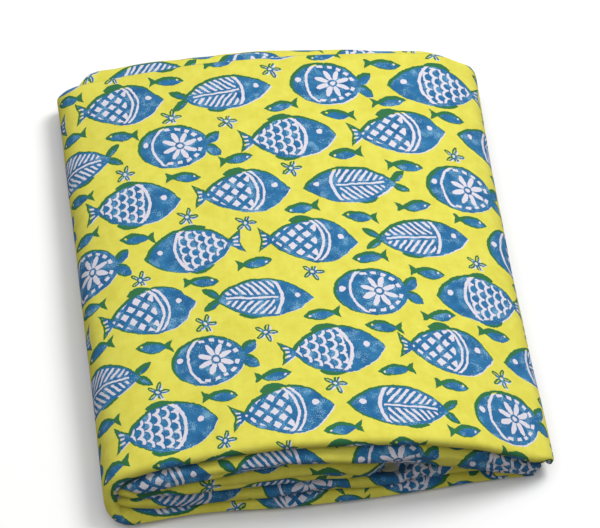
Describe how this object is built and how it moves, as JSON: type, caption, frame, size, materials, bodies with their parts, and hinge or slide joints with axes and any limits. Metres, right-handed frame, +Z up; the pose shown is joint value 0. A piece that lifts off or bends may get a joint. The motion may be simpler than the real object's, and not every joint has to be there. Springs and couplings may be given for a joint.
{
  "type": "folded block print cotton fabric",
  "caption": "Length of printed cotton cloth folded into a flat soft bundle, lying on a table.",
  "frame": {"origin": "middle of the bundle's footprint, on the surface it rests on", "axes": "+Z up, thinnest way of the bundle; +X to the right of someone facing the front folds; +Y from the front folds to the back, the longest way"},
  "size_m": [0.3099, 0.3407, 0.0645],
  "materials": {
    "printed_cotton": "matt plain-weave cotton, block printed in blue and green on a yellow ground with white lines"
  },
  "bodies": {
    "root": {"outer_layer": "printed_cotton", "front_fold_upper": "printed_cotton", "front_fold_middle": "printed_cotton", "front_fold_lower": "printed_cotton", "back_fold": "printed_cotton", "hidden_layers": "printed_cotton"}
  },
  "joints": []
}
